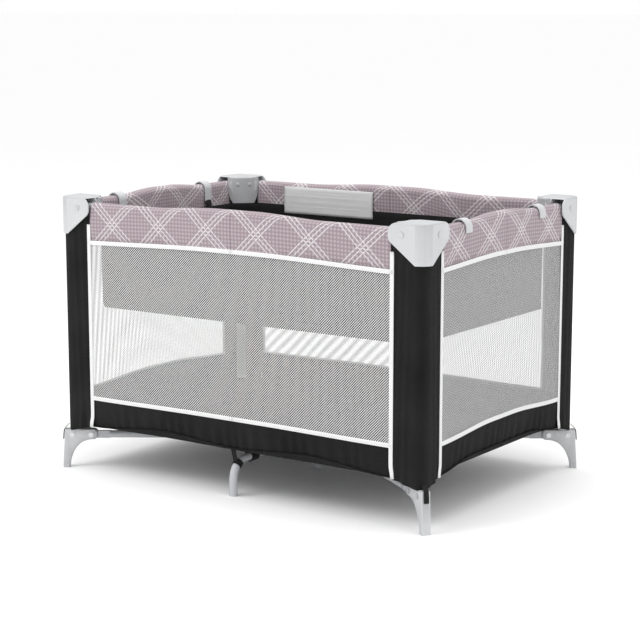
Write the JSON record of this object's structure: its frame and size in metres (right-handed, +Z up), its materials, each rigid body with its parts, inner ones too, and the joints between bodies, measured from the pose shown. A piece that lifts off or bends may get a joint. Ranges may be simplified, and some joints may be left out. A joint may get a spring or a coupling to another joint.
{
  "type": "travel play yard",
  "caption": "Folding rectangular travel play yard with mesh sides, padded plaid top rails, corner caps, curved feet and a hung bassinet tray.",
  "frame": {"origin": "on the ground under the centre of the base hub", "axes": "+X right along the long side, +Y to the rear, +Z up"},
  "size_m": [1.0516, 0.7232, 0.668],
  "materials": {
    "grey_plastic": "satin moulded light grey",
    "black_plastic": "matte black",
    "button_plastic": "matte red",
    "rivet_steel": "satin",
    "tube_steel": "light grey powder coat",
    "webbing": "black webbing",
    "mattress_fabric": "quilted charcoal",
    "black_fabric": "black woven polyester",
    "plaid_fabric": "mauve printed plaid",
    "mesh_fabric": "white open net",
    "binding": "white binding tape"
  },
  "bodies": {
    "hub": {"base_hub": "black_plastic", "hub_pins": "rivet_steel", "pull_strap": "webbing", "floor_panel": "black_fabric"},
    "arm_front_right": {"arm_front_right": "tube_steel"},
    "corner_front_right": {"post_front_right": "tube_steel", "foot_front_right": "grey_plastic", "foot_rivets_front_right": "rivet_steel", "cap_front_right": "grey_plastic", "cap_pins_front_right": "rivet_steel", "wall_front_right": "black_fabric"},
    "long_rail_front_right": {"long_rail_front_right": "tube_steel"},
    "short_rail_front_right": {"short_rail_front_right": "tube_steel"},
    "arm_front_left": {"arm_front_left": "tube_steel"},
    "corner_front_left": {"post_front_left": "tube_steel", "foot_front_left": "grey_plastic", "foot_rivets_front_left": "rivet_steel", "cap_front_left": "grey_plastic", "cap_pins_front_left": "rivet_steel", "wall_front_left": "black_fabric"},
    "long_rail_front_left": {"long_rail_front_left": "tube_steel"},
    "short_rail_front_left": {"short_rail_front_left": "tube_steel"},
    "arm_rear_left": {"arm_rear_left": "tube_steel"},
    "corner_rear_left": {"post_rear_left": "tube_steel", "foot_rear_left": "grey_plastic", "foot_rivets_rear_left": "rivet_steel", "cap_rear_left": "grey_plastic", "cap_pins_rear_left": "rivet_steel", "wall_rear_left": "black_fabric"},
    "long_rail_rear_left": {"long_rail_rear_left": "tube_steel"},
    "short_rail_rear_left": {"short_rail_rear_left": "tube_steel"},
    "arm_rear_right": {"arm_rear_right": "tube_steel"},
    "corner_rear_right": {"post_rear_right": "tube_steel", "foot_rear_right": "grey_plastic", "foot_rivets_rear_right": "rivet_steel", "cap_rear_right": "grey_plastic", "cap_pins_rear_right": "rivet_steel", "wall_rear_right": "black_fabric"},
    "long_rail_rear_right": {"long_rail_rear_right": "tube_steel"},
    "short_rail_rear_right": {"short_rail_rear_right": "tube_steel"},
    "lock_front": {"lock_front": "black_plastic", "lock_rivets_front": "rivet_steel"},
    "lock_button_front": {"lock_button_front": "button_plastic"},
    "lock_rear": {"lock_rear": "black_plastic", "lock_rivets_rear": "rivet_steel"},
    "lock_button_rear": {"lock_button_rear": "button_plastic"},
    "lock_left": {"lock_left": "black_plastic", "lock_rivets_left": "rivet_steel"},
    "lock_button_left": {"lock_button_left": "button_plastic"},
    "lock_right": {"lock_right": "black_plastic", "lock_rivets_right": "rivet_steel"},
    "lock_button_right": {"lock_button_right": "button_plastic"},
    "mid_leg_front": {"mid_leg_front": "tube_steel", "mid_collar_front": "webbing"},
    "mid_leg_rear": {"mid_leg_rear": "tube_steel", "mid_collar_rear": "webbing"},
    "bassinet": {"bassinet_tray": "black_fabric", "bassinet_bars": "tube_steel", "bassinet_clips": "grey_plastic", "mattress": "mattress_fabric"}
  },
  "joints": [
    {"name": "arm_fold_front_right", "type": "hinge", "parent": "hub", "child": "arm_front_right", "pos_m": [0.03805, -0.02585, 0.082], "axis": [0.5619, 0.8272, 0], "range_deg": [0, 83], "deforming": ["floor_panel", "bassinet_tray", "mattress", "wall_front_left", "wall_front_right", "wall_rear_left", "wall_rear_right"]},
    {"name": "corner_level_front_right", "type": "hinge", "parent": "arm_front_right", "child": "corner_front_right", "pos_m": [0.46287, -0.3144, 0.082], "axis": [0.5619, 0.8272, 0], "range_deg": [-83, 0]},
    {"name": "long_rail_fold_front_right", "type": "hinge", "parent": "corner_front_right", "child": "long_rail_front_right", "pos_m": [0.453, -0.3335, 0.643], "axis": [0, -1, 0], "range_deg": [0, 83]},
    {"name": "short_rail_fold_front_right", "type": "hinge", "parent": "corner_front_right", "child": "short_rail_front_right", "pos_m": [0.491, -0.3035, 0.643], "axis": [-1, 0, 0], "range_deg": [0, 83]},
    {"name": "arm_fold_front_left", "type": "hinge", "parent": "hub", "child": "arm_front_left", "pos_m": [-0.03805, -0.02585, 0.082], "axis": [0.5619, -0.8272, 0], "range_deg": [0, 83]},
    {"name": "corner_level_front_left", "type": "hinge", "parent": "arm_front_left", "child": "corner_front_left", "pos_m": [-0.46287, -0.3144, 0.082], "axis": [0.5619, -0.8272, 0], "range_deg": [-83, 0]},
    {"name": "long_rail_fold_front_left", "type": "hinge", "parent": "corner_front_left", "child": "long_rail_front_left", "pos_m": [-0.453, -0.3335, 0.643], "axis": [0, 1, 0], "range_deg": [0, 83]},
    {"name": "short_rail_fold_front_left", "type": "hinge", "parent": "corner_front_left", "child": "short_rail_front_left", "pos_m": [-0.491, -0.3035, 0.643], "axis": [-1, 0, 0], "range_deg": [0, 83]},
    {"name": "arm_fold_rear_left", "type": "hinge", "parent": "hub", "child": "arm_rear_left", "pos_m": [-0.03805, 0.02585, 0.082], "axis": [-0.5619, -0.8272, 0], "range_deg": [0, 83]},
    {"name": "corner_level_rear_left", "type": "hinge", "parent": "arm_rear_left", "child": "corner_rear_left", "pos_m": [-0.46287, 0.3144, 0.082], "axis": [-0.5619, -0.8272, 0], "range_deg": [-83, 0]},
    {"name": "long_rail_fold_rear_left", "type": "hinge", "parent": "corner_rear_left", "child": "long_rail_rear_left", "pos_m": [-0.453, 0.3335, 0.643], "axis": [0, 1, 0], "range_deg": [0, 83]},
    {"name": "short_rail_fold_rear_left", "type": "hinge", "parent": "corner_rear_left", "child": "short_rail_rear_left", "pos_m": [-0.491, 0.3035, 0.643], "axis": [1, 0, 0], "range_deg": [0, 83]},
    {"name": "arm_fold_rear_right", "type": "hinge", "parent": "hub", "child": "arm_rear_right", "pos_m": [0.03805, 0.02585, 0.082], "axis": [-0.5619, 0.8272, 0], "range_deg": [0, 83]},
    {"name": "corner_level_rear_right", "type": "hinge", "parent": "arm_rear_right", "child": "corner_rear_right", "pos_m": [0.46287, 0.3144, 0.082], "axis": [-0.5619, 0.8272, 0], "range_deg": [-83, 0]},
    {"name": "long_rail_fold_rear_right", "type": "hinge", "parent": "corner_rear_right", "child": "long_rail_rear_right", "pos_m": [0.453, 0.3335, 0.643], "axis": [0, -1, 0], "range_deg": [0, 83]},
    {"name": "short_rail_fold_rear_right", "type": "hinge", "parent": "corner_rear_right", "child": "short_rail_rear_right", "pos_m": [0.491, 0.3035, 0.643], "axis": [1, 0, 0], "range_deg": [0, 83]},
    {"name": "lock_level_front", "type": "hinge", "parent": "long_rail_front_left", "child": "lock_front", "pos_m": [-0.02818, -0.3335, 0.643], "axis": [0, 1, 0], "range_deg": [-83, 0]},
    {"name": "lock_press_front", "type": "slide", "parent": "lock_front", "child": "lock_button_front", "axis": [0, 0, 1], "range_m": [0, 0.005], "stiffness_N_per_m": 600, "springref_m": -0.002},
    {"name": "lock_level_rear", "type": "hinge", "parent": "long_rail_rear_left", "child": "lock_rear", "pos_m": [-0.02818, 0.3335, 0.643], "axis": [0, 1, 0], "range_deg": [-83, 0]},
    {"name": "lock_press_rear", "type": "slide", "parent": "lock_rear", "child": "lock_button_rear", "axis": [0, 0, 1], "range_m": [0, 0.005], "stiffness_N_per_m": 600, "springref_m": -0.002},
    {"name": "lock_level_left", "type": "hinge", "parent": "short_rail_front_left", "child": "lock_left", "pos_m": [-0.491, -0.01495, 0.643], "axis": [-1, 0, 0], "range_deg": [-83, 0]},
    {"name": "lock_press_left", "type": "slide", "parent": "lock_left", "child": "lock_button_left", "axis": [0, 0, 1], "range_m": [0, 0.005], "stiffness_N_per_m": 600, "springref_m": -0.002},
    {"name": "lock_level_right", "type": "hinge", "parent": "short_rail_front_right", "child": "lock_right", "pos_m": [0.491, -0.01495, 0.643], "axis": [-1, 0, 0], "range_deg": [-83, 0]},
    {"name": "lock_press_right", "type": "slide", "parent": "lock_right", "child": "lock_button_right", "axis": [0, 0, 1], "range_m": [0, 0.005], "stiffness_N_per_m": 600, "springref_m": -0.002},
    {"name": "mid_leg_fold_front", "type": "hinge", "parent": "hub", "child": "mid_leg_front", "pos_m": [-0.012, -0.046, 0.082], "axis": [1, 0, 0], "range_deg": [0, 96]},
    {"name": "mid_leg_fold_rear", "type": "hinge", "parent": "hub", "child": "mid_leg_rear", "pos_m": [0.012, 0.046, 0.082], "axis": [-1, 0, 0], "range_deg": [0, 96]},
    {"name": "bassinet_lift", "type": "slide", "parent": "hub", "child": "bassinet", "axis": [0, 0, 1], "range_m": [0, 0.3]}
  ],
  "couplings": [
    {"joint": "corner_level_front_right", "follows": "arm_fold_front_right", "ratio": -1},
    {"joint": "long_rail_fold_front_right", "follows": "arm_fold_front_right", "ratio": 1},
    {"joint": "short_rail_fold_front_right", "follows": "arm_fold_front_right", "ratio": 1},
    {"joint": "arm_fold_front_left", "follows": "arm_fold_front_right", "ratio": 1},
    {"joint": "corner_level_front_left", "follows": "arm_fold_front_right", "ratio": -1},
    {"joint": "long_rail_fold_front_left", "follows": "arm_fold_front_right", "ratio": 1},
    {"joint": "short_rail_fold_front_left", "follows": "arm_fold_front_right", "ratio": 1},
    {"joint": "arm_fold_rear_left", "follows": "arm_fold_front_right", "ratio": 1},
    {"joint": "corner_level_rear_left", "follows": "arm_fold_front_right", "ratio": -1},
    {"joint": "long_rail_fold_rear_left", "follows": "arm_fold_front_right", "ratio": 1},
    {"joint": "short_rail_fold_rear_left", "follows": "arm_fold_front_right", "ratio": 1},
    {"joint": "arm_fold_rear_right", "follows": "arm_fold_front_right", "ratio": 1},
    {"joint": "corner_level_rear_right", "follows": "arm_fold_front_right", "ratio": -1},
    {"joint": "long_rail_fold_rear_right", "follows": "arm_fold_front_right", "ratio": 1},
    {"joint": "short_rail_fold_rear_right", "follows": "arm_fold_front_right", "ratio": 1},
    {"joint": "lock_level_front", "follows": "arm_fold_front_right", "ratio": -1},
    {"joint": "lock_level_rear", "follows": "arm_fold_front_right", "ratio": -1},
    {"joint": "lock_level_left", "follows": "arm_fold_front_right", "ratio": -1},
    {"joint": "lock_level_right", "follows": "arm_fold_front_right", "ratio": -1},
    {"joint": "mid_leg_fold_front", "follows": "arm_fold_front_right", "ratio": 1.15},
    {"joint": "mid_leg_fold_rear", "follows": "arm_fold_front_right", "ratio": 1.15}
  ]
}
